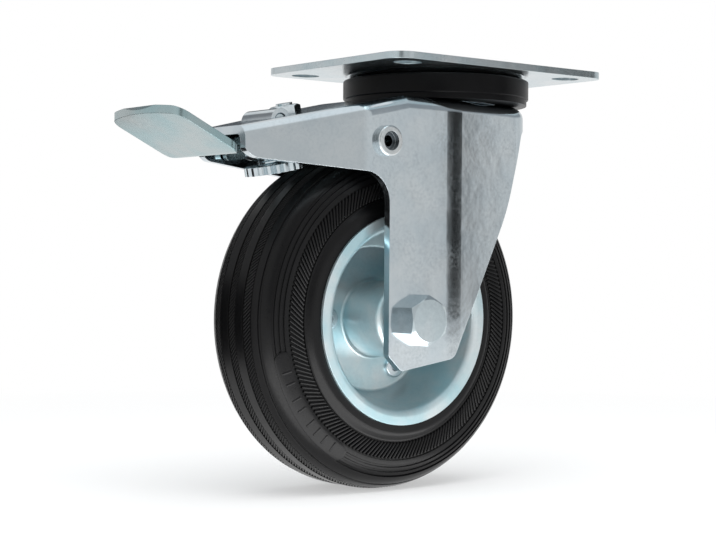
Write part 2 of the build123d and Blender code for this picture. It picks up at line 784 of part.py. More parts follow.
# ---------------------------------------------------------------- axle
with BuildPart() as axle_bolt:
    add(hexagon_blank(axle_plane(-leg_outer_y), axle_bolt_flats, axle_head_height, 0))
    with BuildSketch(axle_plane(-leg_outer_y)):
        Circle(axle_r)
    extrude(amount=-2 * leg_outer_y - axle_washer_thickness - axle_nut_height - axle_end)
    chamfer(axle_bolt.edges().filter_by(GeomType.CIRCLE).sort_by(Axis.Y)[-1], 1)
axle_bolt.part.label = "axle_bolt"
export_step(axle_bolt.part, "parts/axle_bolt.step")

with BuildPart() as axle_washer:
    with BuildSketch(axle_plane(leg_outer_y)):
        Circle(axle_washer_r)
        Circle(axle_r, mode=Mode.SUBTRACT)
    extrude(amount=axle_washer_thickness)
axle_washer.part.label = "axle_washer"
export_step(axle_washer.part, "parts/axle_washer.step")

with BuildPart() as axle_nut:
    add(hexagon_blank(axle_plane(leg_outer_y + axle_washer_thickness), axle_bolt_flats, axle_nut_height, axle_r))
axle_nut.part.label = "axle_nut"
export_step(axle_nut.part, "parts/axle_nut.step")

with BuildPart() as axle_sleeve:
    with BuildSketch(axle_plane(-leg_inner_y)):
        Circle(sleeve_r)
        Circle(axle_r + bolt_play, mode=Mode.SUBTRACT)
    extrude(amount=-hub_length)
axle_sleeve.part.label = "axle_sleeve"
export_step(axle_sleeve.part, "parts/axle_sleeve.step")

# ---------------------------------------------------------------- wheel
wheel_section = Plane(origin=wheel_centre, x_dir=(0, 1, 0), z_dir=(1, 0, 0))
boss_end_y = leg_inner_y - hub_end_gap
cage_end_y = boss_end_y - rim_sheet - cage_end_gap
roller_end_y = cage_end_y - cage_end_bar
rim_flange_y = rim_half_width - rim_sheet / 2
hub_tube_r = rim_boss_r - rim_sheet
roller_r = (hub_tube_r - hub_tube_wall - sleeve_r - roller_play) / 2
roller_pitch_r = sleeve_r + roller_play / 2 + roller_r

with BuildPart() as rim_far:
    mid_sheet = rim_sheet / 2
    with BuildSketch(wheel_section):
        with BuildLine() as section:
            FilletPolyline(
                (boss_end_y - mid_sheet, rim_boss_hole_r),
                (boss_end_y - mid_sheet, rim_boss_r - mid_sheet),
                (mid_sheet, rim_boss_r - mid_sheet),
                (mid_sheet, rim_disc_r),
                (rim_flange_y, rim_flange_inner_r),
                (rim_flange_y, rim_flange_r),
                radius=(rim_boss_fillet_r - mid_sheet, 2, 2, 2),
            )
        trace(section.edges(), rim_sheet)
    revolve(axis=axle_line)
    with BuildSketch(axle_plane(rim_sheet)):
        with PolarLocations(rim_rivet_pitch_r, rim_rivet_count, start_angle=60):
            Circle(rim_rivet_r)
    extrude(amount=-rim_sheet, mode=Mode.SUBTRACT)
rim_far.part.label = "rim_far"
export_step(rim_far.part, "parts/rim_far.step")

with BuildPart() as rim_near:
    add(mirror(rim_far.part, about=Plane.XZ, mode=Mode.PRIVATE))
rim_near.part.label = "rim_near"
export_step(rim_near.part, "parts/rim_near.step")

with BuildPart() as rim_rivets:
    with BuildSketch(axle_plane(rim_sheet)):
        with PolarLocations(rim_rivet_pitch_r, rim_rivet_count, start_angle=60):
            Circle(rim_rivet_head_r)
    extrude(amount=rim_rivet_head)
    mirror(about=Plane.XZ)
    with BuildSketch(axle_plane(rim_sheet + rim_rivet_head)):
        with PolarLocations(rim_rivet_pitch_r, rim_rivet_count, start_angle=60):
            Circle(rim_rivet_r)
    extrude(amount=-2 * (rim_sheet + rim_rivet_head))
    fillet(rim_rivets.edges().filter_by(GeomType.CIRCLE).group_by(Axis.Y)[0].group_by(SortBy.RADIUS)[-1], 0.6)
    fillet(rim_rivets.edges().filter_by(GeomType.CIRCLE).group_by(Axis.Y)[-1].group_by(SortBy.RADIUS)[-1], 0.6)
    with BuildSketch(axle_plane(rim_sheet + rim_rivet_head)):
        with PolarLocations(rim_rivet_pitch_r, rim_rivet_count, start_angle=60):
            Circle(rim_rivet_bore_r)
    extrude(amount=-2 * (rim_sheet + rim_rivet_head), mode=Mode.SUBTRACT)
rim_rivets.part.label = "rim_rivets"
export_step(rim_rivets.part, "parts/rim_rivets.step")

with BuildPart() as hub_tube:
    hub_tube_end_y = boss_end_y - rim_boss_fillet_r
    with BuildSketch(axle_plane(hub_tube_end_y)):
        Circle(hub_tube_r)
        Circle(hub_tube_r - hub_tube_wall, mode=Mode.SUBTRACT)
    extrude(amount=-2 * hub_tube_end_y)
hub_tube.part.label = "hub_tube"
export_step(hub_tube.part, "parts/hub_tube.step")

with BuildPart() as hub_seals:
    with BuildSketch(axle_plane(boss_end_y + seal_play)):
        Circle(seal_r)
        Circle(sleeve_r + running_play, mode=Mode.SUBTRACT)
    extrude(amount=seal_thickness)
    mirror(about=Plane.XZ)
hub_seals.part.label = "hub_seals"
export_step(hub_seals.part, "parts/hub_seals.step")

with BuildPart() as rollers:
    with BuildSketch(axle_plane(roller_end_y)):
        with PolarLocations(roller_pitch_r, roller_count):
            Circle(roller_r)
    extrude(amount=-2 * roller_end_y)
rollers.part.label = "rollers"
export_step(rollers.part, "parts/rollers.step")

with BuildPart() as roller_cage:
    with BuildSketch(axle_plane(cage_end_y)):
        Circle(roller_pitch_r + cage_wall / 2)
        Circle(roller_pitch_r - cage_wall / 2, mode=Mode.SUBTRACT)
    extrude(amount=-2 * cage_end_y)
    with BuildSketch(axle_plane(roller_end_y + roller_play)):
        with PolarLocations(roller_pitch_r, roller_count):
            Circle(roller_r + roller_play)
    extrude(amount=-2 * (roller_end_y + roller_play), mode=Mode.SUBTRACT)
roller_cage.part.label = "roller_cage"
export_step(roller_cage.part, "parts/roller_cage.step")

with BuildSketch() as tyre_half:
    with BuildLine():
        FilletPolyline(
            (0, rim_disc_r + rim_sheet / 2),
            (rim_flange_y, rim_flange_inner_r),
            (rim_flange_y, rim_flange_r),
            (side_y + bead_height, rim_flange_r),
            (side_y + bead_height, bead_crest_r),
            (side_y, bead_r),
            (side_y, side_groove_r[0] - side_groove_width),
            (shoulder_half_width, shoulder_r),
            (tread_flat, wheel_r),
            (0, wheel_r),
            radius=(0, 0, 0, 0, 2.5, 1, 10, 8, min(tread_edge_r, 2.2 * shoulder_run), 0),
            close=True,
        )
    make_face()

with BuildSketch() as groove_floor:
    add(tyre_half.sketch)
    mirror(about=Plane.YZ)
    offset(amount=-groove_depth)

with BuildSketch() as grooves:
    with Locations(*[(side_y, r) for r in side_groove_r]):
        Rectangle(shoulder_r - bead_r, side_groove_width)
    with Locations((side_y, (rib_band_inner_r + rib_band_outer_r) / 2)):
        Rectangle(shoulder_r - bead_r, rib_band_outer_r - rib_band_inner_r)
    with Locations((0, wheel_r), (tread_groove_y, wheel_r)):
        Rectangle(tread_groove_width, shoulder_r - bead_r)
    with Locations((shoulder_groove_y, wheel_r)):
        Rectangle(shoulder_groove_width, shoulder_r - bead_r)
    add(groove_floor.sketch, mode=Mode.SUBTRACT)

with BuildPart() as tyre:
    with BuildSketch(wheel_section):
        add(tyre_half.sketch)
        add(grooves.sketch, mode=Mode.SUBTRACT)
        mirror(about=Plane.YZ)
    revolve(axis=axle_line)
    add(rim_far.part, mode=Mode.SUBTRACT)
    add(rim_near.part, mode=Mode.SUBTRACT)
tyre.part.label = "tyre"
export_step(tyre.part, "parts/tyre.step")
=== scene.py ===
# %% [markdown]
# # A plate castor with a total lock, dressed for the studio
# The castor arrives as a frame of thirty named nodes that already have their true size
# and place. This lesson gives each of them the surface it has on the real thing, adds
# the small moulded and cut details that a solid model leaves out, and sets up a plain
# studio. Lengths are written in millimetres and turned to metres by one factor.

# %% Load the frame
import bpy
import json
from math import cos, pi, radians, sin
from mathutils import Matrix, Vector


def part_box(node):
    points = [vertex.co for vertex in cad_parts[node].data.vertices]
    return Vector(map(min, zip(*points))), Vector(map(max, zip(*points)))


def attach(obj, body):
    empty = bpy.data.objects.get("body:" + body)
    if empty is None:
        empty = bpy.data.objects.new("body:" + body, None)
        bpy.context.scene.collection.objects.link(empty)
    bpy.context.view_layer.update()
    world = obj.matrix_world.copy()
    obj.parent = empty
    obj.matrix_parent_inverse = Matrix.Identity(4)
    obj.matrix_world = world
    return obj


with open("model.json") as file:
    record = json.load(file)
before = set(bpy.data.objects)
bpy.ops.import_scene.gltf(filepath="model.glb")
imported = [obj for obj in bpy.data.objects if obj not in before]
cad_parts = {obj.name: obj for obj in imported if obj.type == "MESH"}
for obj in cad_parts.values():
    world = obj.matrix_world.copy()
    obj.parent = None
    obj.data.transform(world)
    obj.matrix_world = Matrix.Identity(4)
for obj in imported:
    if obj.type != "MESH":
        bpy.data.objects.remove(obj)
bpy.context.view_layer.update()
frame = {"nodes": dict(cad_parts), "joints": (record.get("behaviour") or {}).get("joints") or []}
nodes = frame["nodes"]
MM = 0.001
print("the frame holds", len(nodes), "nodes")

# %% [markdown]
# ## Places from the frame
# Two places carry most of what follows, the wheel's axle and the pivot of the brake
# lever. Both are the places of joints, so they are read from the frame. The wheel's
# radius runs from the axle to the top of the tyre.

# %% Places
joint_places = {joint["name"]: Vector(joint["pos_m"]) for joint in frame["joints"]}
AXLE = joint_places["wheel_spin"]
LEVER_PIVOT = joint_places["brake_swing"]
WHEEL_R = (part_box("tyre")[1].z - AXLE.z) / MM
print("the wheel is", round(2 * WHEEL_R), "mm across")

# %% [markdown]
# ## The camera
# A long lens looks almost level at the wheel from the front left. A constraint could
# aim it, but three angles also give it the small roll. Its focal length is given for a
# render 716 pixels wide, and a sensor 36 mm wide turns that into millimetres.

# %% Camera
YAW, PITCH, ROLL = 0.680, -0.002, 0.008
CAMERA_PLACE = Vector((-433.72, -489.84, -75.37)) * MM
RENDER_WIDTH = 716
FOCAL_PIXELS = 1700.36
SENSOR_WIDTH = 36

forward = Vector((sin(YAW) * cos(PITCH), cos(YAW) * cos(PITCH), sin(PITCH)))
level_right = Vector((cos(YAW), -sin(YAW), 0))
level_up = level_right.cross(forward)
right = cos(ROLL) * level_right + sin(ROLL) * level_up
up = cos(ROLL) * level_up - sin(ROLL) * level_right
turn = Matrix((right, up, -forward)).transposed().to_4x4()

lens = bpy.data.cameras.new("studio_camera")
lens.sensor_width = SENSOR_WIDTH
lens.lens = FOCAL_PIXELS / RENDER_WIDTH * SENSOR_WIDTH
lens.clip_start, lens.clip_end = 0.01, 20
camera = bpy.data.objects.new("studio_camera", lens)
camera.matrix_world = Matrix.Translation(CAMERA_PLACE) @ turn
bpy.context.collection.objects.link(camera)
bpy.context.scene.camera = camera
print("the lens is", round(lens.lens, 1), "mm long")

# %% [markdown]
# ## Colours and nodes
# Colours are picked as the eye sees them, so one function turns each hex value into
# the linear numbers a shader works with. Another adds a node, sets it and plugs in what
# feeds it, so that a material reads as a short recipe. Some nodes name two sockets
# alike, and then a number is safer: Map Range takes its value as 0 and its four limits
# as 1 to 4, and a Mix of colours takes its factor as 0 and its two colours as 6 and 7.

# %% Colour and node helpers
def colour(code):
    """An sRGB hex value as linear red, green, blue and full alpha."""
    parts = [int(code[i:i + 2], 16) / 255 for i in (0, 2, 4)]
    return [c / 12.92 if c <= 0.04045 else ((c + 0.055) / 1.055) ** 2.4 for c in parts] + [1]


def add_node(tree, kind, inputs=None, **settings):
    """Adds a node of one kind with its settings, and returns it.

    Inputs go by name or number. Each is a plain value, a socket to link, or a node,
    which then gives its first output in use.
    """
    node = tree.nodes.new(kind)
    for name, value in settings.items():
        setattr(node, name, value)
    for name, value in (inputs or {}).items():
        if isinstance(value, bpy.types.Node):
            value = next(output for output in value.outputs if output.enabled)
        if isinstance(value, bpy.types.NodeSocket):
            tree.links.new(value, node.inputs[name])
        else:
            node.inputs[name].default_value = value
    return node


def empty_material(name):
    """A material and its node tree, with no nodes in it yet."""
    material = bpy.data.materials.new(name)
    material.use_nodes = True
    material.node_tree.nodes.clear()
    return material, material.node_tree


print("colours and nodes are ready")

# %% [markdown]
# ## Zinc plate on pressed steel
# The plate, fork, pedal and rims are cold-rolled sheet, pressed and then electroplated
# with zinc and passivated blue. The eye gets a cool grey mirror that is a little milky:
# the passivate drifts between faint blue and faint straw, and the matt crystals of the
# plating gather in patches and break the shine into fine specks. A plain noise for each
# of these would look like dirt, so they are layered: slow clouds tint the colour, a
# second slow noise says where the specks are dense, and the specks themselves change
# colour, roughness and height by a few hundredths. A Bevel node rounds each sheared
# edge by a quarter of a millimetre, which is about what tumbling leaves. The mouth of a
# tubular rivet is painted dark inside, as painted shade for the shadow in its hollow.

# %% Zinc
CLOUD_SCALE = 70.0      # waves to the metre: clouds in the passivate are about 14 mm across
PATCH_SCALE = 45.0      # patches where the crystals are dense are about 22 mm across
SPECK_SCALE = 900.0     # the crystals are nearer 0.1 mm; 1.1 mm is the finest that shows
WAVE_DEPTH, SPECK_DEPTH = 0.4, 0.02
SPECK_SHARE, SPECK_TONE = 0.09, "7d8a93"
SPECK_ROUGHNESS = 0.06
EDGE_RADIUS = 0.25
# The rivet's dark mouth is painted shade: how wide it fades, how dark it gets, and its colour.
MOUTH_EDGE, MOUTH_SHADE, MOUTH_SHADOW_TONE = 0.3, 0.85, "39434a"


def shade_in_rivet_mouth(tree, place, tone, radius):
    """Paints shade into a tone round the axis of the lever's pivot, out to a radius, for the
    shadow in a rivet's hollow mouth.
    """
    across = add_node(
        tree, "ShaderNodeVectorMath", {0: place, 1: (1, 0, 1)}, operation="MULTIPLY",
    )
    away = add_node(
        tree, "ShaderNodeVectorMath", {0: across, 1: LEVER_PIVOT}, operation="DISTANCE",
    )
    shade = add_node(tree, "ShaderNodeMapRange", {
        0: away, 1: (radius - MOUTH_EDGE) * MM, 2: radius * MM, 3: MOUTH_SHADE, 4: 0.0,
    })
    inputs = {0: shade, 6: tone, 7: colour(MOUTH_SHADOW_TONE)}
    return add_node(tree, "ShaderNodeMix", inputs, data_type="RGBA")


def zinc_plate(name, light, blue, roughness, speck_bump=0.05, metal=1.0, mouth=None):
    """Blue-passivated zinc, from its two tones and the polish of its sheet.

    On a tubular rivet, mouth is the radius of its middle, which gets painted shade.
    """
    material, tree = empty_material(name)
    place = add_node(tree, "ShaderNodeTexCoord").outputs["Object"]
    clouds = add_node(tree, "ShaderNodeTexNoise", {
        "Vector": place, "Scale": CLOUD_SCALE, "Detail": 3.0,
    })
    patches = add_node(tree, "ShaderNodeTexNoise", {
        "Vector": place, "Scale": PATCH_SCALE, "Detail": 2.0, "Distortion": 0.6,
    })
    specks = add_node(tree, "ShaderNodeTexNoise", {
        "Vector": place, "Scale": SPECK_SCALE, "Detail": 3.0,
    })
    tint = add_node(tree, "ShaderNodeMapRange", {0: clouds, 1: 0.35, 2: 0.65})
    tones = {0: tint, 6: colour(light), 7: colour(blue)}
    tone = add_node(tree, "ShaderNodeMix", tones, data_type="RGBA")
    # Painted shade: the hollow mouth of a tubular rivet is darkened round the pivot's axis.
    if mouth:
        tone = shade_in_rivet_mouth(tree, place, tone, mouth)
    dense = add_node(tree, "ShaderNodeMapRange", {0: patches, 1: 0.40, 2: 0.62, 3: 0.25})
    grains = add_node(tree, "ShaderNodeMapRange", {0: specks, 1: 0.42, 2: 0.66})
    matt = add_node(tree, "ShaderNodeMath", {0: grains, 1: dense}, operation="MULTIPLY")
    share = add_node(tree, "ShaderNodeMath", {0: matt, 1: SPECK_SHARE}, operation="MULTIPLY")
    tones = {0: share, 6: tone, 7: colour(SPECK_TONE)}
    tone = add_node(tree, "ShaderNodeMix", tones, data_type="RGBA")
    polish = add_node(tree, "ShaderNodeMapRange", {
        0: matt, 3: roughness, 4: roughness + SPECK_ROUGHNESS,
    })
    rounded = add_node(tree, "ShaderNodeBevel", {"Radius": EDGE_RADIUS * MM}, samples=4)
    waves = add_node(tree, "ShaderNodeBump", {
        "Height": clouds, "Strength": 0.28, "Distance": WAVE_DEPTH * MM, "Normal": rounded,
    })
    lifted = add_node(tree, "ShaderNodeBump", {
        "Height": matt, "Strength": speck_bump, "Distance": SPECK_DEPTH * MM, "Normal": waves,
    })
    surface = add_node(tree, "ShaderNodeBsdfPrincipled", {
        "Base Color": tone, "Metallic": metal, "Roughness": polish, "Normal": lifted,
    })
    add_node(tree, "ShaderNodeOutputMaterial", {"Surface": surface})
    return material


zinc_top = zinc_plate("zinc_on_plate_sheet", "ccd3d6", "bccbd0", 0.22)
zinc_fork = zinc_plate("zinc_on_fork_pressing", "d0d8dc", "c5d0d6", 0.12)
zinc_pedal = zinc_plate("zinc_on_pedal_strip", "b0bbbc", "9cb6ba", 0.26, 0.04)
zinc_rim = zinc_plate("zinc_on_spun_rim", "cbd4d6", "accad1", 0.32, 0.03, 0.78)
zinc_turned = zinc_plate("zinc_on_bolts_and_rivets", "d0d8dc", "c2cfd4", 0.15)
zinc_rivet = zinc_plate("zinc_on_tubular_rivets", "dfe2e2", "d2d9dc", 0.20, mouth=3.55)
zincs = (zinc_top, zinc_fork, zinc_pedal, zinc_rim, zinc_turned, zinc_rivet)
print("zinc finishes:", [material.name for material in zincs])

# %% [markdown]
# ## Bearing steel and spring steel
# Balls and rollers are ground and polished, so they are the smoothest metal here. The
# return spring is hardened strip with the brown-grey skin of its heat treatment. Both
# only drift a little in tone and polish, and one noise gives them that.

# %% Steels
DRIFT_SCALE = 300.0     # the drift is about 3 mm across


def plain_steel(name, light, dark, roughness):
    """Ground or heat-treated steel with a faint drift of tone and polish."""
    material, tree = empty_material(name)
    place = add_node(tree, "ShaderNodeTexCoord").outputs["Object"]
    drift = add_node(tree, "ShaderNodeTexNoise", {
        "Vector": place, "Scale": DRIFT_SCALE, "Detail": 4.0,
    })
    tint = add_node(tree, "ShaderNodeMapRange", {0: drift, 1: 0.3, 2: 0.7})
    tones = {0: tint, 6: colour(light), 7: colour(dark)}
    tone = add_node(tree, "ShaderNodeMix", tones, data_type="RGBA")
    polish = add_node(tree, "ShaderNodeMapRange", {
        0: drift, 1: 0.3, 2: 0.7, 3: roughness, 4: roughness + 0.1,
    })
    surface = add_node(tree, "ShaderNodeBsdfPrincipled", {
        "Base Color": tone, "Metallic": 1.0, "Roughness": polish,
    })
    add_node(tree, "ShaderNodeOutputMaterial", {"Surface": surface})
    return material


ball_steel = plain_steel("polished_bearing_steel", "d8dadb", "b9bcbe", 0.08)
spring_steel = plain_steel("hardened_spring_strip", "c3c9cb", "a9b0b2", 0.26)
print("steels:", ball_steel.name, spring_steel.name)

# %% [markdown]
# ## Moulded plastics and tyre rubber
# The dust ring is black polyamide with the fine spark texture of its mould, and the
# seals and the roller cage are grey acetal. The tyre is black vulcanised rubber: nearly
# black in colour, with a waxy bloom that lightens it where it catches light, a satin
# shine, and the faint orange peel that a mould leaves. The bloom is a slow noise over
# the colour, and the shine comes from a moderate roughness over rubber's index, 1.52.
# The skin of a mould is finer than a tenth of a millimetre, and here it is drawn about
# half a millimetre coarse, the finest that shows.

# %% Plastics and rubber
BLOOM_SCALE = 60.0      # the bloom is about 17 mm across


def moulded(name, deep, pale, roughness, index, shine, skin_scale, skin_depth):
    """A moulded plastic or rubber: a tone that drifts, and the skin of its mould."""
    material, tree = empty_material(name)
    place = add_node(tree, "ShaderNodeTexCoord").outputs["Object"]
    bloom = add_node(tree, "ShaderNodeTexNoise", {
        "Vector": place, "Scale": BLOOM_SCALE, "Detail": 6.0,
    })
    skin = add_node(tree, "ShaderNodeTexNoise", {
        "Vector": place, "Scale": skin_scale, "Detail": 3.0,
    })
    tint = add_node(tree, "ShaderNodeMapRange", {0: bloom, 1: 0.35, 2: 0.7})
    tones = {0: tint, 6: colour(deep), 7: colour(pale)}
    tone = add_node(tree, "ShaderNodeMix", tones, data_type="RGBA")
    polish = add_node(tree, "ShaderNodeMapRange", {
        0: skin, 1: 0.3, 2: 0.7, 3: roughness - 0.05, 4: roughness + 0.08,
    })
    rounded = add_node(tree, "ShaderNodeBevel", {"Radius": EDGE_RADIUS * MM}, samples=4)
    lifted = add_node(tree, "ShaderNodeBump", {
        "Height": skin, "Strength": 0.2, "Distance": skin_depth * MM, "Normal": rounded,
    })
    surface = add_node(tree, "ShaderNodeBsdfPrincipled", {
        "Base Color": tone, "Roughness": polish, "Normal": lifted,
        "IOR": index, "Specular IOR Level": shine,
    })
    add_node(tree, "ShaderNodeOutputMaterial", {"Surface": surface})
    return material


black_nylon = moulded("black_polyamide", "070708", "0c0c0d", 0.32, 1.53, 0.09, 2200.0, 0.05)
grey_acetal = moulded("grey_acetal", "6b6f70", "7d8182", 0.40, 1.48, 0.5, 1800.0, 0.03)
tyre_rubber = moulded("vulcanised_rubber", "060607", "0b0b0c", 0.32, 1.52, 0.2, 1500.0, 0.05)
print("mouldings:", black_nylon.name, grey_acetal.name, tyre_rubber.name)

# %% [markdown]
# ## Dressing the frame's nodes
# Each node keeps its shape and takes the finish of its real piece.

# %% Finishes for the nodes
finishes = {
    zinc_top: ["top_plate", "lower_cup", "lock_ring"],
    zinc_fork: ["fork"],
    zinc_pedal: ["pedal", "brake_lever"],
    zinc_rim: ["rim_near", "rim_far"],
    zinc_rivet: ["pivot_rivets"],
    zinc_turned: [
        "kingpin", "kingpin_nut", "axle_bolt", "axle_washer", "axle_nut", "axle_sleeve",
        "adjusting_screw", "screw_lock_nut", "pedal_pin", "spring_bolt", "spring_nut",
        "rim_rivets", "hub_tube",
    ],
    ball_steel: ["upper_balls", "lower_balls", "rollers"],
    spring_steel: ["return_spring"],
    black_nylon: ["dust_ring"],
    grey_acetal: ["hub_seals", "roller_cage"],
    tyre_rubber: ["tyre"],
}
for finish, names in finishes.items():
    for name in names:
        nodes[name].data.materials.clear()
        nodes[name].data.materials.append(finish)
print("dressed", sum(len(names) for names in finishes.values()), "nodes")

# %% [markdown]
# ## Modelling from a script
# The operators act on whatever is selected, so each step starts by clearing the
# selection. The helpers below do that, apply a modifier once it is set, and make the
# rounded bar that the ribs, the teeth and the panel's bars start from. An array carries
# a bar round the axle by following a turned empty. Last, a finished piece gets its
# name, finish and body, with its place baked into its mesh.

# %% Modelling helpers
def only(piece):
    """Makes one object the selected and active one."""
    bpy.ops.object.select_all(action="DESELECT")
    piece.select_set(True)
    bpy.context.view_layer.objects.active = piece


def modify(piece, kind, **settings):
    """Adds a modifier, sets it and applies it."""
    only(piece)
    modifier = piece.modifiers.new(kind.lower(), kind)
    for name, value in settings.items():
        setattr(modifier, name, value)
    bpy.ops.object.modifier_apply(modifier=modifier.name)


def rounded_bar(size, edge, segments):
    """A bar of a size in millimetres, with rounded edges."""
    bpy.ops.object.select_all(action="DESELECT")
    bpy.ops.mesh.primitive_cube_add(size=1)
    bar = bpy.context.object
    bar.scale = Vector(size) * MM
    bpy.ops.object.transform_apply(location=False, rotation=False, scale=True)
    modify(bar, "BEVEL", width=edge * MM, segments=segments)
    return bar


def ring_of(piece, count):
    """Copies a piece round the axle with an Array that follows a turned empty."""
    only(piece)
    bpy.ops.object.transform_apply(location=True, rotation=True, scale=True)
    bpy.context.scene.cursor.location = AXLE
    bpy.ops.object.origin_set(type="ORIGIN_CURSOR")
    pivot = bpy.data.objects.new("pivot", None)
    bpy.context.collection.objects.link(pivot)
    pivot.location = AXLE
    pivot.rotation_euler = (0, 2 * pi / count, 0)
    bpy.context.view_layer.update()
    modify(
        piece, "ARRAY", count=count, use_relative_offset=False,
        use_object_offset=True, offset_object=pivot,
    )
    bpy.data.objects.remove(pivot)


def seat(piece, name, body, finish):
    """Names a piece, bakes its place into its mesh, and gives it finish and body."""
    only(piece)
    bpy.ops.object.transform_apply(location=True, rotation=True, scale=True)
    piece.name = name
    piece.data.materials.clear()
    piece.data.materials.append(finish)
    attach(piece, body)
    print(name, "has", len(piece.data.polygons), "faces")


print("modelling helpers are ready")

# %% [markdown]
# ## Slanted ribs in the tyre's side
# A band of fine ribs runs round each side of the tyre between its bead and its three
# grooves. Each rib is a rounded bar 7.3 mm long, laid 36 degrees off the radius, and
# there are 184 of them, 1.6 mm apart, so about seven tenths of the band is rib and the
# rest is dark gap. A bump in the rubber could draw them, but it would cast no shadow
# and be gone from the mesh, so they are modelled. A wide bevel gives the bar the round
# crest that catches the light, an array carries it round the axle, and a mirror gives
# the far side.

# %% Side ribs
RIB_COUNT = 184
RIB_SIZE = (7.3, 2.1, 0.95)
RIB_EDGE = 0.42
RIB_LEAN = 36
RIB_MID_R, RIB_Y = 47.7, -17.75

side_ribs = rounded_bar(RIB_SIZE, RIB_EDGE, segments=3)
side_ribs.matrix_world = (
    Matrix.Translation(AXLE + Vector((RIB_MID_R, RIB_Y, 0)) * MM)
    @ Matrix.Rotation(radians(RIB_LEAN), 4, "Y")
)
ring_of(side_ribs, RIB_COUNT)
modify(side_ribs, "MIRROR", use_axis=(False, True, False), mirror_object=nodes["tyre"])
only(side_ribs)
bpy.ops.object.shade_smooth_by_angle(angle=radians(60))
seat(side_ribs, "tyre_side_ribs", "wheel", tyre_rubber)

# %% [markdown]
# ## Knurled grooves in the tread
# Three shallow grooves run round the tread, and slanted teeth fill each of them almost
# up to the tread's level. They are the same kind of bar, turned 42 degrees, and they
# stop just inside the tread's own radius so that the wheel keeps its diameter. The
# outer two bands lie where the tread already turns down to the shoulder, so they sit
# 0.24 mm lower and lean ten degrees outwards. Displacing the tread would need a far
# denser mesh than 870 small bars do, and it would round off their ends.

# %% Tread teeth
TOOTH_COUNT = 290
TOOTH_SIZE = (1.0, 4.6, 0.62)
TOOTH_EDGE = 0.2
TOOTH_SLANT = 42
TOOTH_SINK = 0.58       # from the tread's radius down to the middle of a tooth
TREAD_BANDS = ((-8.6, 0.24, -10), (0.0, 0.0, 0), (8.6, 0.24, 10))


def join(pieces):
    """Joins pieces into the first of them, which stays selected."""
    bpy.ops.object.select_all(action="DESELECT")
    for piece in pieces:
        piece.select_set(True)
    bpy.context.view_layer.objects.active = pieces[0]
    bpy.ops.object.join()
    return pieces[0]


bands = []
for across, drop, lean in TREAD_BANDS:
    band = rounded_bar(TOOTH_SIZE, TOOTH_EDGE, segments=1)
    band.matrix_world = (
        Matrix.Translation(AXLE + Vector((WHEEL_R - TOOTH_SINK - drop, across, 0)) * MM)
        @ Matrix.Rotation(radians(lean), 4, "Z")
        @ Matrix.Rotation(radians(TOOTH_SLANT), 4, "X")
    )
    ring_of(band, TOOTH_COUNT)
    bands.append(band)
seat(join(bands), "tyre_tread_teeth", "wheel", tyre_rubber)

# %% [markdown]
# ## The size panel on the tyre's near side
# The mould leaves a smooth panel across the three side grooves, where a tyre carries
# its size. Here it carries plain bars. A flat plate would leave the tyre at its ends,
# because the panel follows the bulge. So its section is laid down as a chain of points
# on that bulge and spun part of the way round the axle. Slanted cuts round its corners,
# and a thickness and a bevel finish it.

# %% The panel's sheet
PANEL_FROM, PANEL_TO = 191, 242     # degrees round the axle, from +X towards +Z
PANEL_SHEET, PANEL_EDGE = 0.34, 0.08
PANEL_MIDDLE_R = 54.5
CORNER_R = 3.1
CORNER_INSET = 3.4      # degrees from the panel's end to the middle of its rounding
CORNER_CUTS = (-65, -40, -15, 15, 40, 65)
BULGE = [               # radius from the axle, and distance from the wheel's middle
    (51.4, 18.50), (52.5, 18.43), (53.5, 18.25), (54.5, 18.00),
    (55.3, 17.80), (56.2, 17.52), (57.0, 17.16), (57.6, 16.84),
]


def on_wheel(radius, angle, y):
    """A point by its distance from the axle, its angle from +X towards +Z, and its y."""
    from_axle = Vector((radius * cos(radians(angle)), y, radius * sin(radians(angle))))
    return AXLE + from_axle * MM


section = bpy.data.meshes.new("panel_section")
chain = [(i, i + 1) for i in range(len(BULGE) - 1)]
section.from_pydata([on_wheel(r, PANEL_FROM, -y) for r, y in BULGE], chain, [])
panel = bpy.data.objects.new("panel_section", section)
bpy.context.collection.objects.link(panel)
only(panel)
bpy.ops.object.mode_set(mode="EDIT")
bpy.ops.mesh.select_all(action="SELECT")
bpy.ops.mesh.spin(
    steps=50, angle=radians(PANEL_TO - PANEL_FROM), center=AXLE, axis=(0, 1, 0),
)
for end, turn_way in ((PANEL_FROM, 1), (PANEL_TO, -1)):
    middle = on_wheel(PANEL_MIDDLE_R, end + turn_way * CORNER_INSET, 0)
    outwards = (on_wheel(1, end, 0) - AXLE).normalized()
    along = (on_wheel(1, end - turn_way * 90, 0) - AXLE).normalized()
    for lean in CORNER_CUTS:
        way = along * cos(radians(lean)) + outwards * sin(radians(lean))
        bpy.ops.mesh.select_all(action="SELECT")
        bpy.ops.mesh.bisect(
            plane_co=middle + way * CORNER_R * MM, plane_no=way, clear_outer=True,
        )
bpy.ops.mesh.select_all(action="SELECT")
bpy.ops.mesh.remove_doubles(threshold=0.00001)
bpy.ops.mesh.normals_make_consistent(inside=False)
bpy.ops.object.mode_set(mode="OBJECT")
if panel.data.polygons[0].normal.y > 0:
    panel.data.flip_normals()
modify(panel, "SOLIDIFY", thickness=PANEL_SHEET * MM, offset=0.0)
modify(panel, "BEVEL", width=PANEL_EDGE * MM, segments=2)
print("the panel's sheet has", len(panel.data.polygons), "faces")

# %% [markdown]
# ## Bars on the panel
# Eight short bars stand across the panel where the figures of a size would be, two,
# two and four together. Each leans by 14 degrees, as the bulge does there, and all are
# joined to the sheet.

# %% The panel's bars
BAR_ANGLES = (199, 203.5, 210, 214.5, 221, 225.5, 230, 235)
BAR_SIZE = (3.6, 0.5, 0.7)
BAR_EDGE = 0.15
BAR_LEAN = 14
BAR_MID_R, BAR_Y = 54.4, -18.08

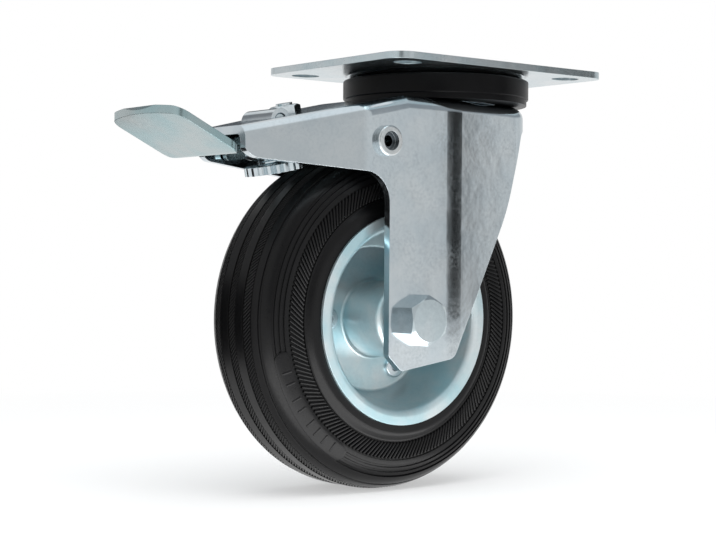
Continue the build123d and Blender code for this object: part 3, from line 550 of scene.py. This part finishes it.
bars = []
for angle in BAR_ANGLES:
    bar = rounded_bar(BAR_SIZE, BAR_EDGE, segments=2)
    bar.matrix_world = (
        Matrix.Translation(on_wheel(BAR_MID_R, angle, BAR_Y))
        @ Matrix.Rotation(-radians(angle), 4, "Y")
        @ Matrix.Rotation(radians(BAR_LEAN), 4, "Z")
    )
    bars.append(bar)
join([panel] + bars)
bpy.ops.object.shade_smooth_by_angle(angle=radians(30))
seat(panel, "tyre_size_panel", "wheel", tyre_rubber)

# %% [markdown]
# ## Threads
# The adjusting screw under the lever and the end of the axle bolt show their thread. A
# bump would leave their outline smooth, and it is the outline that tells a thread. Rolled
# by a die, a thread is one small triangle carried round and along its axis, which is
# just what the Screw modifier does. Both ends are then closed.

# %% Threads
THREAD_ROOT = 0.15      # how deep the ridge is sunk in the shaft
THREAD_CREST = 0.5      # how far it stands out of it
THREAD_SHARE = 0.84     # how much of the pitch it covers
THREAD_STEPS = 28
SCREW_PLACE = Vector((-80.5, 0, -23.02))        # where its axis meets the fork's top face
SCREW_WAY = Vector((-0.2130, 0, 0.9770))
SCREW_THREAD_DOWN = 19.3
AXLE_THREAD_START = Vector((-32, 38.15, -94.5))


def thread(name, start, way, radius, pitch, turns, body):
    """A ridge that winds round a shaft from a start point, in millimetres."""
    root, crest, width = radius - THREAD_ROOT, radius + THREAD_CREST, pitch * THREAD_SHARE
    corners = [(root, 0, 0), (crest, 0, width / 2), (root, 0, width)]
    outline = bpy.data.meshes.new(name)
    outline.from_pydata([Vector(corner) * MM for corner in corners], [(0, 1), (1, 2), (2, 0)], [])
    ridge = bpy.data.objects.new(name, outline)
    bpy.context.collection.objects.link(ridge)
    modify(
        ridge, "SCREW", axis="Z", screw_offset=pitch * MM, iterations=turns,
        steps=THREAD_STEPS, render_steps=THREAD_STEPS,
    )
    bpy.ops.object.mode_set(mode="EDIT")
    bpy.ops.mesh.select_all(action="SELECT")
    bpy.ops.mesh.fill_holes(sides=3)
    bpy.ops.mesh.select_all(action="SELECT")
    bpy.ops.mesh.normals_make_consistent(inside=False)
    bpy.ops.object.mode_set(mode="OBJECT")
    stand = way.to_track_quat("Z", "Y").to_matrix().to_4x4()
    ridge.matrix_world = Matrix.Translation(start * MM) @ stand
    bpy.ops.object.shade_smooth_by_angle(angle=radians(35))
    seat(ridge, name, body, zinc_turned)


screw_start = SCREW_PLACE - SCREW_THREAD_DOWN * SCREW_WAY
thread("adjusting_screw_thread", screw_start, SCREW_WAY, 5.0, 1.05, 5, "brake")
thread("axle_end_thread", AXLE_THREAD_START, Vector((0, 1, 0)), 4.6, 1.2, 1, "fork")

# %% [markdown]
# ## The floor
# A pale floor lies a tenth of a millimetre below the wheel. Matt paint alone would meet
# the white behind it in a grey line. So the paint, which keeps the soft shadow, makes up
# a little over half of it near the wheel, the rest is glow, and from 160 to 500 mm out
# the floor turns into glow alone. Mirrors see the glow everywhere.

# %% Floor
FLOOR_Z = -157.1 * MM
SHADOW_R, GLOW_R = 160 * MM, 500 * MM
GLOW_UNDER_WHEEL = 0.45

bpy.ops.object.select_all(action="DESELECT")
bpy.ops.mesh.primitive_plane_add(size=6, location=(0, 0, FLOOR_Z))
floor = bpy.context.object
floor.name = "studio_floor"
floor_paint, tree = empty_material("matt_white_paint")
paint = add_node(tree, "ShaderNodeBsdfDiffuse", {"Color": colour("ffffff")})
place = add_node(tree, "ShaderNodeTexCoord").outputs["Object"]
reach = add_node(tree, "ShaderNodeVectorMath", {0: place}, operation="LENGTH")
far = add_node(tree, "ShaderNodeMapRange", {
    0: reach, 1: SHADOW_R, 2: GLOW_R, 3: GLOW_UNDER_WHEEL,
})
mirrored = add_node(tree, "ShaderNodeLightPath").outputs["Is Glossy Ray"]
share = add_node(tree, "ShaderNodeMath", {0: far, 1: mirrored}, operation="MAXIMUM")
glow = add_node(tree, "ShaderNodeEmission", {"Color": colour("ffffff"), "Strength": 1.0})
both = add_node(tree, "ShaderNodeMixShader", {0: share, 1: paint, 2: glow})
add_node(tree, "ShaderNodeOutputMaterial", {"Surface": both})
floor.data.materials.append(floor_paint)
print("the floor lies at", round(FLOOR_Z / MM, 1), "mm")

# %% [markdown]
# ## The world
# The world is plain white to the camera, to mirrors and through glass. To matt surfaces
# it gives a weaker and slightly blue light from all sides.

# %% World
world = bpy.data.worlds.new("studio_world")
bpy.context.scene.world = world
world.use_nodes = True
tree = world.node_tree
tree.nodes.clear()
rays = add_node(tree, "ShaderNodeLightPath").outputs
seen = add_node(
    tree, "ShaderNodeMath", {0: rays["Is Camera Ray"], 1: rays["Is Glossy Ray"]},
    operation="MAXIMUM",
)
seen = add_node(
    tree, "ShaderNodeMath", {0: seen, 1: rays["Is Transmission Ray"]}, operation="MAXIMUM",
)
lit = add_node(tree, "ShaderNodeBackground", {"Color": colour("eef3f6"), "Strength": 0.55})
white = add_node(tree, "ShaderNodeBackground", {"Color": colour("ffffff"), "Strength": 1.0})
both = add_node(tree, "ShaderNodeMixShader", {0: seen, 1: lit, 2: white})
add_node(tree, "ShaderNodeOutputWorld", {"Surface": both})
print("the world is", world.name)

# %% [markdown]
# ## Cards for the reflections
# Metal needs something to reflect, so a sphere of grey cards, which only reflections
# see, stands round the castor like the flags of a studio. One row of cards runs round
# the horizon: bright cards, a black flag at the right of the front, which shows in the
# fork's bend, and a grey one at the left, which shows in the bolt's head. Three darker
# boards hang above the horizon, where the faces that look upwards mirror them. Overhead
# it is white. Single planes could do the same, but one sphere has no gaps between them.
# Azimuth runs from -Y towards +X, and height is the sine of elevation.

# %% Rows of cards and boards
ROUND_CARDS = [         # azimuth in degrees, and grey level
    (-180, 0.85), (-118, 0.80), (-75, 0.85), (-54, 0.78), (-45, 0.22), (-33, 0.22),
    (-24, 0.72), (0, 0.61), (20, 0.74), (41.5, 0.76), (43.8, 0.01), (55.0, 0.01),
    (57.5, 0.80), (75, 0.72), (95, 0.78), (125, 0.84), (145, 0.85), (172, 0.85),
]
BOARDS = [              # tone, then where it starts and ends in height and in azimuth
    ((0.34, 0.36, 0.38, 1), (0.22, 0.30, 0.76, 0.84), (30, 36, 95, 108)),
    ((0.26, 0.26, 0.27, 1), (0.15, 0.22, 0.66, 0.74), (-174, -168, -150, -138)),
    ((0.09, 0.10, 0.11, 1), (0.10, 0.16, 0.46, 0.54), (126, 132, 158, 164)),
]
OVERHEAD_FROM, OVERHEAD_TO, OVERHEAD_TONE = 0.80, 0.90, (1.0, 1.03, 1.05, 1)


def row_of_cards(tree, value, low, high, stops):
    """Grey levels along a value between low and high, from (place, level) pairs."""
    along = add_node(tree, "ShaderNodeMapRange", {0: value, 1: low, 2: high})
    row = add_node(tree, "ShaderNodeValToRGB", {0: along})
    ramp = row.color_ramp
    ramp.elements.remove(ramp.elements[1])
    ramp.elements[0].position = 0.0
    ramp.elements[0].color = [stops[0][1]] * 3 + [1]
    for at, level in stops[1:]:
        ramp.elements.new((at - low) / (high - low)).color = [level] * 3 + [1]
    return row


def stretch_of_board(tree, value, low, high, edges):
    """How much of a board is there: it rises over two edges and falls over the others."""
    stops = [(low, 0)] + list(zip(edges, (0, 1, 1, 0)))
    return row_of_cards(tree, value, low, high, stops)


print("the studio has", len(ROUND_CARDS), "cards and", len(BOARDS), "boards")

# %% [markdown]
# The cards are the colour of a glow on the inside of the sphere. A direction from its
# middle gives the azimuth and the height that the rows of cards run along.

# %% Sphere of cards
def mirrors_only(thing):
    """Hides a thing from everything but reflections."""
    for ray in ("camera", "diffuse", "transmission", "volume_scatter", "shadow"):
        setattr(thing, "visible_" + ray, False)


bpy.ops.object.select_all(action="DESELECT")
bpy.ops.mesh.primitive_uv_sphere_add(
    segments=64, ring_count=32, radius=1.6, location=(0, 0, -0.08),
)
flags = bpy.context.object
flags.name = "studio_flags"
mirrors_only(flags)
flag_card, tree = empty_material("grey_flag_card")
place = add_node(tree, "ShaderNodeTexCoord").outputs["Object"]
way = add_node(tree, "ShaderNodeVectorMath", {0: place}, operation="NORMALIZE")
to_x, to_y, height = add_node(tree, "ShaderNodeSeparateXYZ", {0: way}).outputs
minus_y = add_node(tree, "ShaderNodeMath", {0: to_y, 1: -1.0}, operation="MULTIPLY")
azimuth = add_node(tree, "ShaderNodeMath", {0: to_x, 1: minus_y}, operation="ARCTAN2")
turned = add_node(tree, "ShaderNodeMath", {0: azimuth, 1: 180 / pi}, operation="MULTIPLY")
tone = row_of_cards(tree, turned, -180.0, 180.0, ROUND_CARDS)
for board_tone, heights, widths in BOARDS:
    high = stretch_of_board(tree, height, -1.0, 1.0, heights)
    wide = stretch_of_board(tree, turned, -180.0, 180.0, widths)
    board = add_node(tree, "ShaderNodeMath", {0: high, 1: wide}, operation="MULTIPLY")
    tones = {0: board, 6: tone, 7: board_tone}
    tone = add_node(tree, "ShaderNodeMix", tones, data_type="RGBA")
overhead = add_node(tree, "ShaderNodeMapRange", {0: height, 1: OVERHEAD_FROM, 2: OVERHEAD_TO})
tones = {0: overhead, 6: tone, 7: OVERHEAD_TONE}
tone = add_node(tree, "ShaderNodeMix", tones, data_type="RGBA")
glow = add_node(tree, "ShaderNodeEmission", {"Color": tone, "Strength": 1.0})
add_node(tree, "ShaderNodeOutputMaterial", {"Surface": glow})
flags.data.materials.append(flag_card)
print(flags.name, "is", round(flags.dimensions.x, 2), "m across")

# %% [markdown]
# ## A black card behind the tread
# The tread would mirror the white world at its left edge. A black card stands close
# behind it there, and like the others it is seen by reflections only.

# %% Black card
bpy.ops.object.select_all(action="DESELECT")
bpy.ops.mesh.primitive_plane_add(size=1, location=(-0.180, 0.112, -0.100))
card = bpy.context.object
card.name = "studio_black_card"
card.scale = (0.24, 0.11, 1)
card.rotation_euler = (pi / 2, 0, radians(39))
mirrors_only(card)
black_card, tree = empty_material("black_card")
glow = add_node(tree, "ShaderNodeEmission", {"Color": colour("161616"), "Strength": 1.0})
add_node(tree, "ShaderNodeOutputMaterial", {"Surface": glow})
card.data.materials.append(black_card)
print("the black card is", card.name)

# %% [markdown]
# ## The lamps
# Three soft boxes stand above, at the left and in front. They light the matt surfaces,
# and mirrors don't see them. A low lamp lies on the table and gives the light that a
# white table throws back up at the tyre.

# %% Lamps
def softbox(name, place, aim, size, power):
    """A rectangular area lamp that looks at a point."""
    lamp = bpy.data.lights.new(name, "AREA")
    lamp.shape = "RECTANGLE"
    lamp.size, lamp.size_y = size
    lamp.energy = power
    box = bpy.data.objects.new(name, lamp)
    box.location = place
    box.rotation_euler = (Vector(aim) - Vector(place)).to_track_quat("-Z", "Y").to_euler()
    bpy.context.collection.objects.link(box)
    return box


lamps = [
    softbox("overhead_softbox", (-0.1, -0.2, 0.75), (-0.03, 0, -0.09), (0.9, 0.9), 7.0),
    softbox("left_softbox", (-0.95, -0.25, -0.02), (-0.05, 0, -0.09), (0.5, 0.9), 3.0),
    softbox("front_softbox", (0.45, -0.95, 0.1), (-0.03, 0, -0.08), (0.6, 0.6), 3.5),
]
for lamp in lamps:
    lamp.visible_glossy = False
table_light = softbox(
    "table_light", (-0.09, -0.08, -0.1568), (-0.09, -0.08, 1.0), (0.20, 0.10), 0.20,
)
table_light.visible_camera = False
bpy.context.scene.view_settings.view_transform = "Standard"
print("the studio is lit by", len(lamps) + 1, "lamps")
